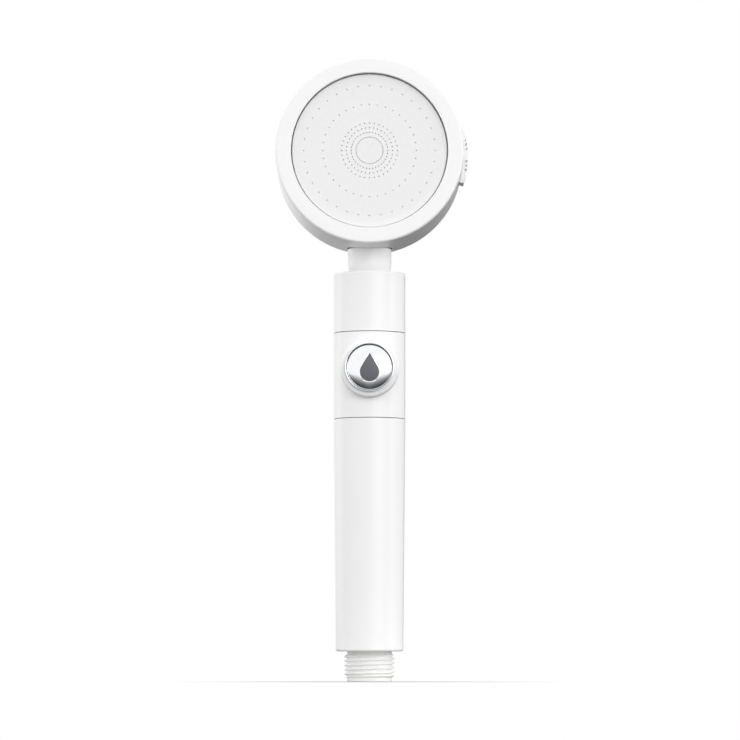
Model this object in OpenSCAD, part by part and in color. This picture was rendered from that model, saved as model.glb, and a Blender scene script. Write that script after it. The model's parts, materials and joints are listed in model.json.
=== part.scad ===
// Handheld shower head: a round three-mode head on a slim filter handle with a stop button.
// Frame: origin at the centre of the hose thread's lower end, +Z up the handle,
// the spray face looks towards -Y and the mode slider is on the +X side. Millimetres.

/* [Handle] */
// Diameter of the upper sleeve, the valve housing and the top of the grip tube
handle_d = 29.9; // [25:0.1:36]
// How much smaller the grip tube's radius is at its lower end
grip_taper = 0.9; // [0:0.1:2]
// Length of the grip tube
grip_len = 96.6; // [80:0.1:130]
// Length of the valve housing between its two seams
valve_len = 35.9; // [30:0.1:45]
// Length of the upper sleeve
sleeve_len = 25.1; // [20:0.1:36]
// Wall of the grip tube at its lower end
grip_wall = 2.1; // [1.6:0.1:3]
// Wall of the grip tube round its upper socket, and of the upper sleeve
socket_wall = 2.2; // [1.6:0.1:3]
// Length of the valve housing's spigot in the grip tube
spigot_len = 9; // [6:0.5:14]

/* [Head] */
// Diameter of the head's front edge
head_d = 78.2; // [64:0.1:100]
// Depth of the head from its front rim to its back
head_depth = 33.8; // [32:0.1:40]
// Angle that the face looks up by
head_tilt = 3; // [0:0.5:6]
// Distance from the handle's axis forward to the centre of the rim
face_forward = 21; // [19:0.1:22]
// Height of the neck that shows between handle and head
neck_show = 10.6; // [8:0.1:20]
// Width of the flat rim round the spray plate
rim_w = 6.55; // [5:0.05:10]
// How much smaller the head's radius is at its back
head_draft = 0.1; // [0:0.1:1.2]
// Wall of the head
head_wall = 1.8; // [1.6:0.1:2.5]
// Depth of the spray plate behind the rim
plate_recess = 2; // [1:0.1:3]
// Thickness of the spray plate
plate_t = 1.2; // [0.8:0.1:1.5]

/* [Spray pattern] */
// Diameter of a spray hole
hole_d = 0.5; // [0.3:0.05:0.8]
// Number of holes in each ring
ring_holes = 36; // [24:1:40]
// Number of rings in the centre group
centre_rings = 4; // [2:1:5]
// Radius of the innermost ring
first_ring_r = 5.6; // [4:0.1:7]
// Distance between rings of the centre group
ring_step = 1.98; // [1.5:0.01:2.2]
// Distance from the outermost ring to the plate's edge
outer_ring_inset = 4.85; // [4:0.05:7]

/* [Mode slider] */
// Turn of the slider to each side of its middle position
mode_turn = 14; // [8:1:16]
// Half of the angle that the slider's pad covers
pad_half = 17; // [12:1:20]
// Height of the pad across the head's wall
pad_w = 8.4; // [6:0.1:10]
// How far the pad stands proud of the wall
pad_proud = 1.9; // [1.2:0.1:3]
// Depth of the pad's middle behind the rim
pad_depth = 17; // [15:0.1:19]
// Depth of a finger groove in the pad
groove_t = 0.8; // [0.4:0.1:1]

/* [Stop button] */
// Height of the button's axis above the lower seam of the valve housing
button_up = 20.5; // [14:0.1:24]
// Diameter of the boss that carries the button
boss_d = 24.6; // [22:0.1:26]
// Distance from the handle's axis to the front of the boss
boss_front = 18; // [15:0.1:22]
// Diameter of the button
button_d = 19; // [15:0.1:20]
// Wall of the ring round the button
ring_wall = 0.4; // [0.3:0.1:1.2]
// Travel of the button
press = 3; // [2:0.1:4]
// Diameter of the valve bore
valve_bore_d = 9.2; // [8:0.1:11]

/* [Hose thread] */
// Length of the threaded end below the grip tube
thread_len = 12.6; // [11:0.1:16]
// Major diameter of the G1/2 thread
thread_major_d = 20.955; // [20.8:0.005:21]
// Minor diameter of the G1/2 thread
thread_minor_d = 18.631; // [18.5:0.001:18.7]
// Pitch of the thread
thread_pitch = 1.814; // [1.8:0.001:1.9]
// Number of full crests
thread_turns = 5; // [4:1:5]
// Diameter of the water way through the inlet
inlet_bore_d = 14; // [10:0.1:14]

/* [Fits] */
// Radial gap between pieces that move on each other
running_gap = 0.05; // [0.03:0.01:0.1]
// Gap round a moving piece that is not guided
free_gap = 0.3; // [0.2:0.05:0.5]
// Radial gap where one piece plugs into another
plug_gap = 0.15; // [0.05:0.05:0.3]
// Gap at the two seams of the handle
seam_gap = 0.25; // [0.1:0.05:0.5]

/* [Hidden] */
$fn = 64;
eps = 0.01;

// Heights up the handle
handle_r = handle_d / 2;
z_grip = thread_len;
z_seam_low = z_grip + grip_len;
z_seam_high = z_seam_low + valve_len;
z_top = z_seam_high + sleeve_len;
z_button = z_seam_low + button_up;
edge_r = 0.8;

// Radii inside the handle
grip_end_r = handle_r - grip_taper;
grip_bore_r = grip_end_r - grip_wall;
socket_r = handle_r - socket_wall;
spigot_r = socket_r - plug_gap;
socket_depth = spigot_len + 1;
o_ring_groove = 1.3;

// The head's frame: +Z is the face's outward normal, depths run back from the rim
head_r = head_d / 2;
head_z = z_top + neck_show + head_r;
head_bore_r = head_r - head_draft - head_wall;
recess_r = head_r - rim_w;
plate_gap = 0.4;
plate_r = recess_r - plate_gap;
rim_round = 1;
lip_t = 2;
lip_depth = 5.4;
rear_round = 1.5;

// Depths of the stack inside the head
plate_back = plate_recess + plate_t;
skirt_t = 0.7;
skirt_depth = 1.8;
channel_t = 5.2;
channel_base = 2;
channel_back = plate_back + channel_t;
gasket_t = 0.4;
rotor_front = channel_back + gasket_t + 0.1;
rotor_t = 2.5;
rotor_back = rotor_front + rotor_t;
chamber_front = rotor_back + 0.2;
chamber_wall = 2;
lid_t = 2;
cover_rim_t = 1.8;
chamber_back = head_depth - cover_rim_t - 0.7;

// Radii of the stack
band_t = 1.1;
band_r = head_bore_r - free_gap;
chamber_r = band_r - band_t - 1.4;
screw_r = 1.2;
screw_head_r = 2.1;
screw_ring_r = chamber_r - 2.4;
screw_boss_r = 2.2;
screw_angles = [80, 200, 320];
rotor_r = screw_ring_r - screw_boss_r - 0.4;
cavity_r = screw_ring_r - screw_boss_r - 0.2;
hub_pin_r = 3;
cover_pegs = [20, 140, 260];
peg_r = 2;
peg_deep = 1.2;
peg_ring_r = cavity_r - 6;
channel_wall_r = plate_r - skirt_t - 0.1;

// Rings of holes and the three zones behind them
last_centre_r = first_ring_r + (centre_rings - 1) * ring_step;
outer_ring_r = plate_r - outer_ring_inset;
middle_ring_r = (last_centre_r + outer_ring_r) / 2;
ring_radii = concat([for (i = [0 : centre_rings - 1]) first_ring_r + i * ring_step],
    [middle_ring_r, outer_ring_r]);
zone_wall_t = 1.2;
zone_walls = [(last_centre_r + middle_ring_r) / 2, (middle_ring_r + outer_ring_r) / 2];
port_r = 1.4;
port_radii = [(first_ring_r + last_centre_r) / 2, middle_ring_r, rotor_r - port_r - 0.8];
port_angle = 90;
seal_r = 2.3;

// Slider, its stem and the slot it moves in
stem_half = 5;
stem_h = 3.4;
slot_half = mode_turn + stem_half + 0.6;
slot_h = stem_h + 2 * free_gap;
band_half = slot_half + mode_turn + 4;
band_h = pad_depth + slot_h / 2 + 1.9 - rotor_front;
pad_in_r = head_r + 0.05;
pad_out_r = head_r + pad_proud;
groove_angles = [-8.9, -6.3, -3.7, 3.7, 6.3, 8.9];
groove_w = 1;

// Detent: a leaf spring round the rotor's edge with one nose in a notch
detent_angle = 140;
detent_half = 15;
nose_r = 1.1;
nose_ring_r = rotor_r + 0.75;

// Neck
neck_r = 9.1;
stem_r = 8.2;
neck_socket_r = stem_r + plug_gap;
neck_bore_r = 4.5;
neck_stem_len = 12;
neck_round = 3;
spigot_top_r = 5.3;
socket_boss_r = spigot_top_r + plug_gap + 1.1;
shoulder_h = 1;
z_neck_shoulder = z_top + neck_show - 0.2;
z_socket = z_neck_shoulder + shoulder_h + 0.2;
z_spigot_top = head_z - cavity_r + 1;

// Valve, button and boss; depths run back from the boss's front along +Y
boss_r = boss_d / 2;
boss_round = 1.2;
button_r = button_d / 2;
ring_in_r = button_r + running_gap + 0.15;
ring_r = ring_in_r + ring_wall;
ring_proud = 1.7;
pocket_t = 7;
cap_wall = 1.2;
cap_front = boss_front + 1.1;
cap_dome = 2.4;
valve_bore_r = valve_bore_d / 2;
cartridge_wall = 2.2;
cartridge_r = valve_bore_r + cartridge_wall;
cartridge_front = boss_front - pocket_t;
cartridge_back = 3.25 - handle_r;
cartridge_wall_t = 2;
cartridge_floor_t = 1.6;
piston_r = valve_bore_r - running_gap;
rod_r = 2.4;
valve_port_r = 1.4;
front_land = press + 0.2;
waist_len = 2 * valve_port_r + 0.4;
back_land = 2.2;
piston_len = front_land + waist_len + back_land;
piston_front = min(cartridge_front - cartridge_wall_t - 0.9, front_land + 2 * valve_port_r + 2.15);
valve_port_y = piston_front - front_land - waist_len / 2;
seal_groove_w = 1.1;
seal_groove_y = [piston_front - 1, piston_front - piston_len + 1.6];
spring_wire_r = 0.45;
spring_r = 2.9;
spring_front = piston_front - piston_len - spring_wire_r - 0.05;
spring_back = cartridge_back + cartridge_floor_t + spring_wire_r + 0.05;
spring_turns = max(1, floor((spring_front - spring_back - press) / (2.3 * spring_wire_r)));
icon_deep = 1.6;
icon_sink = 0.1;
drop_r = 4;
drop_z = z_button - drop_r / 2;

// Filter
filter_gap = 2.2;
filter_r = grip_bore_r - filter_gap;
filter_hole_r = 4;
cap_t = 3;
flange_t = 3;
floor_t = 3;
z_floor = z_grip + floor_t;
z_flange = z_floor + flange_t;
seal_t = 1.2;
z_filter = z_flange + seal_t;
z_spigot = z_seam_low - spigot_len;
gasket_h = 2;
z_filter_end = z_spigot - gasket_h;

// Hose thread
thread_r = thread_major_d / 2;
root_r = thread_minor_d / 2;
crest_half = thread_pitch / 12;
lead_in = 1.9;
collar_r = thread_r + 0.5;
inlet_bore_r = inlet_bore_d / 2;
screen_t = 1;

module white() {
    color([0.93, 0.93, 0.93]) children();
}

module in_head() {
    translate([0, -face_forward, head_z]) rotate([90 - head_tilt, 0, 0]) children();
}

// A cylinder of the head's frame between two depths behind the rim
module disc(r, from, to) {
    translate([0, 0, -to]) cylinder(r = r, h = to - from);
}

// A ring of the head's frame between two depths
module band(r_in, r_out, from, to) {
    difference() {
        disc(r_out, from, to);
        disc(r_in, from - 1, to + 1);
    }
}

// Part of a ring, from angle -half to +half round the head's axis
module arc_band(r_in, r_out, from, to, half) {
    rotate([0, 0, -half])
        rotate_extrude(angle = 2 * half)
            translate([r_in, -to]) square([r_out - r_in, to - from]);
}

module at_angle(a, r) {
    rotate([0, 0, a]) translate([r, 0, 0]) children();
}

// A cylinder along the valve axis between two distances forward of the handle's axis
module valve_disc(r, front, back) {
    translate([0, -back, z_button]) rotate([90, 0, 0]) cylinder(r = r, h = front - back);
}

module tube(r_in, r_out, from, to) {
    difference() {
        translate([0, 0, from]) cylinder(r = r_out, h = to - from);
        translate([0, 0, from - 1]) cylinder(r = r_in, h = to - from + 2);
    }
}

// A rubber ring of round section, stood on its own axis at height z
module o_ring(inner_r, t, z) {
    translate([0, 0, z])
        rotate_extrude() translate([inner_r + t / 2, 0]) circle(d = t, $fn = 24);
}

// Points of a quarter turn about c, from angle a to b
function arc(c, r, a, b, n = 6) =
    [for (i = [0 : n]) c + r * [cos(a + (b - a) * i / n), sin(a + (b - a) * i / n)]];

// Points of a shallow dome from its edge, at radius r and height h, to its middle, rise further on
function cap_arc(r, h, rise, n = 10) =
    let (ball = (r * r + rise * rise) / (2 * abs(rise)), half = asin(r / ball), up = sign(rise))
    [for (i = [n : -1 : 0])
        [ball * sin(half * i / n), h + rise - up * ball * (1 - cos(half * i / n))]];

// Outline of the head's shell: rim, recess, wall and rounded back edge
function drum_outline() = concat(
    [[recess_r, -lip_depth], [recess_r, 0]],
    arc([head_r - rim_round, -rim_round], rim_round, 90, 0),
    arc([head_r - head_draft - rear_round, -head_depth + rear_round], rear_round, 0, -90),
    [[head_bore_r, -head_depth], [head_bore_r, -lip_t], [recess_r + lip_t, -lip_t],
     [recess_r + lip_t, -lip_depth]]);

module head_drum() {
    white() difference() {
        in_head() difference() {
            rotate_extrude($fn = 128) polygon(drum_outline());
            arc_band(head_bore_r - 2, head_r + 2, pad_depth - slot_h / 2,
                pad_depth + slot_h / 2, slot_half);
        }
        translate([0, 0, z_top]) cylinder(r = neck_r + free_gap, h = neck_show + 6);
    }
}

// Slightly domed cover pressed into the back of the head
module back_cover() {
    r = head_bore_r - plug_gap;
    dome = 1.4;
    inside = head_depth - 1.2;
    white() in_head() {
        rotate_extrude($fn = 128) polygon(concat(
            [[0, -inside], [r - 3, -inside], [r - 3, cover_rim_t - head_depth],
             [r, cover_rim_t - head_depth]],
            cap_arc(r, -head_depth, -dome)));
        for (a = cover_pegs)
            at_angle(a, peg_ring_r) disc(peg_r, chamber_back - peg_deep, inside + 0.4);
    }
}

module spray_plate() {
    color([0.94, 0.94, 0.94]) in_head() difference() {
        union() {
            disc(plate_r, plate_recess, plate_back);
            band(plate_r - skirt_t, plate_r, plate_back - eps, plate_back + skirt_depth);
        }
        for (r = ring_radii)
            for (i = [0 : ring_holes - 1])
                at_angle(90 + i * 360 / ring_holes, r)
                    translate([0, 0, -plate_back - 1])
                        cylinder(d = hole_d, h = plate_t + 2, $fn = 16);
    }
}

// Distributes the water of each mode to its own rings of holes
module channel_plate() {
    color([0.85, 0.86, 0.87]) in_head() difference() {
        union() {
            disc(channel_wall_r, plate_back, channel_back);
            disc(head_bore_r - plug_gap, lip_depth, channel_back);
        }
        difference() {
            disc(channel_wall_r - 1.4, plate_back - 1, channel_back - channel_base);
            disc(first_ring_r - 2, plate_back - 2, channel_back);
            for (r = zone_walls)
                band(r - zone_wall_t / 2, r + zone_wall_t / 2, plate_back - 2, channel_back);
        }
        for (r = port_radii)
            at_angle(port_angle, r) disc(port_r, plate_back, channel_back + 1);
        for (a = screw_angles)
            at_angle(a, screw_ring_r) disc(screw_r, channel_back - 2.4, channel_back + 1);
    }
}

module zone_gasket() {
    color([0.2, 0.2, 0.2]) in_head() difference() {
        disc(rotor_r - 0.4, channel_back, channel_back + gasket_t);
        disc(hub_pin_r + 1, channel_back - 1, channel_back + 1);
        for (r = port_radii)
            at_angle(port_angle, r) disc(port_r, channel_back - 1, channel_back + 1);
    }
}

// Disc with one port per mode, an arm and a band that closes the slider's slot
module selector_rotor() {
    arm_w = 12;
    color([0.8, 0.81, 0.82]) in_head() difference() {
        union() {
            disc(rotor_r, rotor_front, rotor_back);
            translate([0, -arm_w / 2, -rotor_back])
                cube([band_r - band_t / 2, arm_w, rotor_t]);
            arc_band(band_r - band_t, band_r, rotor_front, rotor_front + band_h, band_half);
        }
        disc(hub_pin_r + running_gap, rotor_front - 1, rotor_back + 1);
        for (m = [-1 : 1])
            at_angle(port_angle - m * mode_turn, port_radii[m + 1])
                disc(port_r, rotor_front - 1, rotor_back + 1);
        for (m = [-1 : 1])
            at_angle(detent_angle + m * mode_turn, nose_ring_r)
                disc(nose_r + free_gap, rotor_front - 1, rotor_back + 1);
    }
}

// Thumb pad outside the wall, with a stem that plugs on the rotor's band
module mode_slider() {
    round_t = 0.6;
    low = -pad_depth - pad_w / 2;
    high = -pad_depth + pad_w / 2;
    white() in_head() difference() {
        union() {
            rotate([0, 0, -pad_half])
                rotate_extrude(angle = 2 * pad_half)
                    polygon(concat([[pad_in_r, low]],
                        arc([pad_out_r - round_t, low + round_t], round_t, -90, 0, 4),
                        arc([pad_out_r - round_t, high - round_t], round_t, 0, 90, 4),
                        [[pad_in_r, high]]));
            arc_band(band_r, pad_in_r + eps, pad_depth - stem_h / 2, pad_depth + stem_h / 2,
                stem_half);
        }
        for (a = groove_angles)
            rotate([0, 0, a])
                translate([pad_out_r - groove_t, -groove_w / 2, low - 1])
                    cube([groove_t + 1, groove_w, pad_w + 2]);
    }
}

module detent_spring() {
    foot = 4;
    in_r = nose_ring_r + 0.1;
    color([0.75, 0.76, 0.78]) in_head() rotate([0, 0, detent_angle]) {
        arc_band(in_r, in_r + 0.4, rotor_front + 0.2, rotor_back - 0.2, detent_half);
        at_angle(0, nose_ring_r) disc(nose_r, rotor_front + 0.2, rotor_back - 0.2);
        for (side = [-1, 1])
            rotate([0, 0, side * (detent_half - foot / 2)])
                arc_band(in_r, in_r + 0.8, rotor_front + 0.2, chamber_front, foot / 2);
    }
}

module port_seals() {
    color([0.15, 0.15, 0.15]) in_head()
        for (r = port_radii)
            at_angle(port_angle, r) band(port_r, seal_r, rotor_back + 0.1, chamber_front + 1);
}

// Water chamber behind the rotor, with the hub pin and the neck's socket
module chamber_body() {
    color([0.85, 0.86, 0.87]) difference() {
        union() {
            in_head() disc(chamber_r, chamber_front, chamber_back - lid_t);
            in_head() disc(hub_pin_r, rotor_front, chamber_front + eps);
            in_head() for (a = screw_angles)
                at_angle(a, screw_ring_r) disc(screw_boss_r, channel_back, chamber_front + eps);
            translate([0, 0, z_socket])
                cylinder(r = socket_boss_r, h = head_z - chamber_r + chamber_wall - z_socket);
        }
        in_head() disc(cavity_r, chamber_front + chamber_wall, chamber_back);
        in_head() disc(head_r, chamber_back - lid_t, chamber_back + 2);
        in_head() for (r = port_radii) {
            at_angle(port_angle, r) disc(port_r, rotor_back, chamber_front + chamber_wall + 1);
            at_angle(port_angle, r) disc(seal_r, rotor_back, chamber_front + 1);
        }
        in_head() for (a = screw_angles)
            at_angle(a, screw_ring_r) disc(screw_r + 0.2, channel_back - 1, chamber_back);
        translate([0, 0, z_neck_shoulder])
            cylinder(r = spigot_top_r + plug_gap, h = z_spigot_top - z_neck_shoulder + 1);
    }
}

module chamber_lid() {
    color([0.8, 0.81, 0.82]) in_head() difference() {
        union() {
            disc(chamber_r, chamber_back - lid_t, chamber_back);
            disc(cavity_r - plug_gap, chamber_back - lid_t - 1, chamber_back);
        }
        for (a = screw_angles)
            at_angle(a, screw_ring_r) disc(screw_r + 0.2, chamber_front, chamber_back + 1);
        for (a = cover_pegs)
            at_angle(a, peg_ring_r) disc(peg_r, chamber_back - peg_deep, chamber_back + 1);
    }
}

// Three screws that clamp lid, chamber and channel plate together
module chamber_screws() {
    head_t = 0.6;
    color([0.7, 0.7, 0.72]) in_head()
        for (a = screw_angles)
            at_angle(a, screw_ring_r) difference() {
                union() {
                    disc(screw_r, channel_back - 2.2, chamber_back + eps);
                    disc(screw_head_r, chamber_back, chamber_back + head_t);
                }
                for (turn = [0, 90])
                    rotate([0, 0, turn]) translate([-1.4, -0.3, -chamber_back - head_t - 1])
                        cube([2.8, 0.6, 1.4]);
            }
}

// Rounded neck between handle and head, one pipe with a spigot at each end
module neck_pipe() {
    groove_z = z_top - 7;
    ring_z = z_neck_shoulder + 3.2;
    outline = concat(
        [[neck_bore_r, z_top - neck_stem_len], [stem_r, z_top - neck_stem_len],
         [stem_r, groove_z - 1], [stem_r - o_ring_groove, groove_z - 1],
         [stem_r - o_ring_groove, groove_z + 1], [stem_r, groove_z + 1],
         [stem_r, z_top + 0.4]],
        arc([neck_r - neck_round, z_top + 0.8 + neck_round], neck_round, -45, 0),
        [[neck_r, z_neck_shoulder], [neck_r - shoulder_h, z_neck_shoulder + shoulder_h],
         [spigot_top_r, z_neck_shoulder + shoulder_h], [spigot_top_r, ring_z - 0.8],
         [spigot_top_r - 0.8, ring_z - 0.8], [spigot_top_r - 0.8, ring_z + 0.8],
         [spigot_top_r, ring_z + 0.8], [spigot_top_r, z_spigot_top],
         [neck_bore_r - 1, z_spigot_top], [neck_bore_r - 1, z_neck_shoulder],
         [neck_bore_r, z_neck_shoulder - 3]]);
    white() rotate_extrude($fn = 96) polygon(outline);
}

module neck_o_rings() {
    color([0.12, 0.12, 0.12]) {
        o_ring(stem_r - o_ring_groove, o_ring_groove, z_top - 7);
        o_ring(spigot_top_r - 0.8, 0.8, z_neck_shoulder + 3.2);
    }
}

module upper_sleeve() {
    roof_t = 3;
    bottom = z_seam_high + seam_gap / 2;
    white() difference() {
        rotate_extrude($fn = 96) polygon(concat(
            [[0, bottom], [handle_r, bottom]],
            arc([handle_r - edge_r, z_top - edge_r], edge_r, 0, 90),
            [[0, z_top]]));
        translate([0, 0, bottom - 1]) cylinder(r = socket_r, h = sleeve_len - roof_t + 1);
        translate([0, 0, z_top - roof_t - 1]) cylinder(r = neck_socket_r, h = roof_t + 3);
    }
}

// Carries the water from the valve to the neck inside the upper sleeve
module upper_core() {
    z_low = z_seam_high + 8;
    z_high = z_top - 3.2;
    z_floor_neck = z_top - neck_stem_len;
    color([0.85, 0.86, 0.87]) difference() {
        union() {
            translate([0, 0, z_low]) cylinder(r = socket_r - plug_gap, h = z_high - z_low);
            translate([0, 0, z_low - 5]) cylinder(r = 6, h = 6);
        }
        translate([0, 0, z_floor_neck]) cylinder(r = neck_socket_r, h = neck_stem_len);
        translate([0, 0, z_low - 6]) cylinder(r = neck_bore_r, h = sleeve_len);
    }
}

module core_seal() {
    color([0.12, 0.12, 0.12])
        translate([0, 0, z_seam_high + 2]) difference() {
            cylinder(r = 6, h = 1);
            translate([0, 0, -1]) cylinder(r = neck_bore_r, h = 3);
        }
}

// Middle of the handle: the boss for the button and the bore for the valve
module valve_housing() {
    low = z_seam_low + seam_gap / 2;
    high = z_seam_high - seam_gap / 2;
    top_spigot = 6;
    groove_low = z_seam_low - 4.5;
    groove_high = z_seam_high + 3;
    white() difference() {
        union() {
            translate([0, 0, low]) cylinder(r = handle_r, h = high - low, $fn = 96);
            translate([0, 0, z_spigot]) cylinder(r = spigot_r, h = spigot_len + 1);
            translate([0, 0, high - 1]) cylinder(r = spigot_r, h = top_spigot + 1);
            translate([0, 0, z_button]) rotate([90, 0, 0])
                rotate_extrude($fn = 96) polygon(concat([[0, 0], [boss_r, 0]],
                    arc([boss_r - boss_round, boss_front - boss_round], boss_round, 0, 90),
                    [[0, boss_front]]));
        }
        valve_disc(ring_r, boss_front + 1, cartridge_front);
        valve_disc(cartridge_r, cartridge_front + 1, cartridge_back);
        for (z = [groove_low, groove_high])
            tube(spigot_r - o_ring_groove, spigot_r + 0.05, z - 1, z + 1);
        translate([0, 0, z_spigot - 1]) cylinder(r = neck_bore_r, h = z_button - z_spigot + 1);
        translate([0, 0, z_button]) cylinder(r = neck_bore_r, h = valve_len);
        translate([0, 0, z_seam_high + 2]) cylinder(r = 6 + plug_gap, h = 10);
    }
}

module housing_o_rings() {
    color([0.12, 0.12, 0.12])
        for (z = [z_seam_low - 4.5, z_seam_high + 3])
            o_ring(spigot_r - o_ring_groove, o_ring_groove, z);
}

module button_ring() {
    lip = boss_front + ring_proud;
    round_t = ring_wall / 2 - 0.02;
    color([0.8, 0.81, 0.83]) translate([0, 0, z_button]) rotate([90, 0, 0])
        rotate_extrude($fn = 96) polygon(concat(
            [[ring_in_r, cartridge_front], [ring_r, cartridge_front]],
            arc([ring_r - round_t, lip - round_t], round_t, 0, 90, 4),
            arc([ring_in_r + round_t, lip - round_t], round_t, 90, 180, 4)));
}

// The outline of a water drop, point upwards, centred on its round end
module drop(r) {
    polygon(concat([[0, 2 * r]], arc([0, 0], r, 150, 390, 24)));
}

module drop_prism(r, front, back) {
    translate([0, -back, drop_z]) rotate([90, 0, 0]) linear_extrude(front - back) drop(r);
}

module button_cap() {
    skirt_back = cartridge_front + press + 0.6;
    inside_r = button_r - cap_wall;
    color([0.8, 0.81, 0.83]) difference() {
        translate([0, 0, z_button]) rotate([90, 0, 0])
            rotate_extrude($fn = 96) polygon(concat(
                [[0, cap_front - cap_wall], [inside_r, cap_front - cap_wall],
                 [inside_r, skirt_back], [button_r, skirt_back]],
                cap_arc(button_r, cap_front, cap_dome)));
        drop_prism(drop_r, cap_front + cap_dome + 1, cap_front + cap_dome - icon_deep);
    }
}

// Inlay in the button, its front just under the button's dome
module button_icon() {
    back = cap_front + cap_dome - icon_deep;
    color([0.3, 0.31, 0.33]) intersection() {
        drop_prism(drop_r, cap_front + cap_dome + 1, back);
        translate([0, 0, z_button]) rotate([90, 0, 0])
            rotate_extrude($fn = 96) polygon(concat([[0, back - 1], [button_r, back - 1]],
                cap_arc(button_r, cap_front - icon_sink, cap_dome)));
    }
}

// Rod and piston that the button pushes back to close the water way
module valve_plunger() {
    color([0.9, 0.9, 0.9]) difference() {
        union() {
            valve_disc(rod_r, cap_front - cap_wall, piston_front - eps);
            valve_disc(rod_r + 2, cap_front - cap_wall, cap_front - cap_wall - 1.5);
            valve_disc(piston_r, piston_front, piston_front - front_land);
            valve_disc(rod_r, piston_front, piston_front - piston_len);
            valve_disc(piston_r, piston_front - piston_len + back_land, piston_front - piston_len);
        }
        for (y = seal_groove_y)
            difference() {
                valve_disc(valve_bore_r, y, y - seal_groove_w);
                valve_disc(piston_r - 1, y + 1, y - 2);
            }
    }
}

module plunger_seals() {
    color([0.12, 0.12, 0.12])
        for (y = seal_groove_y)
            translate([0, seal_groove_w / 2 - y, z_button]) rotate([90, 0, 0])
                rotate_extrude() translate([piston_r - 0.5, 0]) circle(r = 0.48, $fn = 24);
}

// Ring of a helix at turn t, as points round the wire
function coil_ring(t, len, sides) =
    [for (k = [0 : sides - 1])
        let (a = 360 * t * spring_turns, b = 360 * k / sides)
        [(spring_r + spring_wire_r * cos(b)) * cos(a),
         (spring_r + spring_wire_r * cos(b)) * sin(a),
         len * t + spring_wire_r * sin(b)]];

module coil(len) {
    sides = 8;
    rings = spring_turns * 18;
    points = [for (i = [0 : rings]) each coil_ring(i / rings, len, sides)];
    walls = [for (i = [0 : rings - 1], k = [0 : sides - 1])
        [i * sides + k, (i + 1) * sides + k,
         (i + 1) * sides + (k + 1) % sides, i * sides + (k + 1) % sides]];
    ends = [[for (k = [0 : sides - 1]) k], [for (k = [sides - 1 : -1 : 0]) rings * sides + k]];
    polyhedron(points, concat(walls, ends), convexity = 4);
}

module valve_spring() {
    color([0.7, 0.71, 0.73])
        translate([0, -spring_back, z_button]) rotate([90, 0, 0]) coil(spring_front - spring_back);
}

// Sleeve that the piston runs in, with side ports for the water
module valve_cartridge() {
    color([0.9, 0.9, 0.9]) difference() {
        valve_disc(cartridge_r, cartridge_front, cartridge_back);
        valve_disc(valve_bore_r, cartridge_front - cartridge_wall_t,
            cartridge_back + cartridge_floor_t);
        valve_disc(rod_r + running_gap, cartridge_front + 1, cartridge_front - 3);
        translate([0, -valve_port_y, z_button - cartridge_r - 1])
            cylinder(r = valve_port_r, h = 2 * cartridge_r + 2);
    }
}

module grip_tube() {
    white() difference() {
        union() {
            rotate_extrude($fn = 96) polygon(concat([[0, z_grip]],
                arc([grip_end_r - edge_r, z_grip + edge_r], edge_r, -90, 0),
                [[handle_r, z_seam_low - seam_gap / 2], [0, z_seam_low - seam_gap / 2]]));
        }
        translate([0, 0, z_floor]) cylinder(r = grip_bore_r, h = grip_len);
        translate([0, 0, z_seam_low - socket_depth]) cylinder(r = socket_r, h = socket_depth + 1);
        translate([0, 0, z_grip - 1]) cylinder(r = collar_r + plug_gap, h = floor_t + 2);
    }
}

module filter_core() {
    color([0.95, 0.95, 0.93]) tube(filter_hole_r, filter_r, z_filter + cap_t, z_filter_end - cap_t);
}

module filter_caps() {
    color([0.3, 0.55, 0.8]) {
        tube(filter_hole_r, filter_r + 0.4, z_filter_end - cap_t, z_filter_end);
        translate([0, 0, z_filter]) difference() {
            cylinder(r = filter_r + 0.4, h = cap_t);
            for (a = [0 : 60 : 300])
                rotate([0, 0, a]) translate([filter_r + 0.4, 0, -1]) cylinder(r = 2, h = cap_t + 2);
            translate([0, 0, cap_t - 1]) cylinder(r = filter_hole_r, h = 2);
        }
    }
}

module filter_gasket() {
    color([0.12, 0.12, 0.12]) tube(filter_hole_r, filter_r - 1, z_filter_end, z_spigot);
}

// One crest of the thread, centred on z: flanks at 55 degrees to each other
function crest(z) = [
    [root_r, z - crest_half - (thread_r - root_r) * tan(27.5)],
    [thread_r, z - crest_half], [thread_r, z + crest_half],
    [root_r, z + crest_half + (thread_r - root_r) * tan(27.5)]];

// Threaded hose end, held in the grip tube by its flange
module inlet_connector() {
    first = lead_in + thread_pitch / 2;
    outline = concat(
        [[inlet_bore_r, 0], [root_r - 0.5, 0], [root_r, 0.5]],
        [for (i = [0 : thread_turns - 1]) each crest(first + i * thread_pitch)],
        [[root_r, thread_len + 0.3], [collar_r, thread_len + 0.6], [collar_r, z_floor],
         [grip_bore_r - plug_gap, z_floor], [grip_bore_r - plug_gap, z_flange],
         [inlet_bore_r, z_flange]]);
    white() difference() {
        rotate_extrude($fn = 96) polygon(outline);
        translate([0, 0, z_flange - screen_t]) cylinder(r = inlet_bore_r + 0.8, h = 2);
    }
}

module inlet_screen() {
    r = inlet_bore_r + 0.8 - 0.1;
    color([0.7, 0.71, 0.73]) translate([0, 0, z_flange - screen_t]) difference() {
        cylinder(r = r, h = screen_t);
        for (x = [-3 : 3], y = [-3 : 3])
            if (norm([x, y]) < 3.3)
                translate([x * 1.7, y * 1.7, -1]) cylinder(r = 0.6, h = 3, $fn = 16);
    }
}

module connector_seal() {
    color([0.12, 0.12, 0.12])
        tube(inlet_bore_r + 1.2, grip_bore_r - plug_gap - 0.2, z_flange, z_filter);
}

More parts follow.
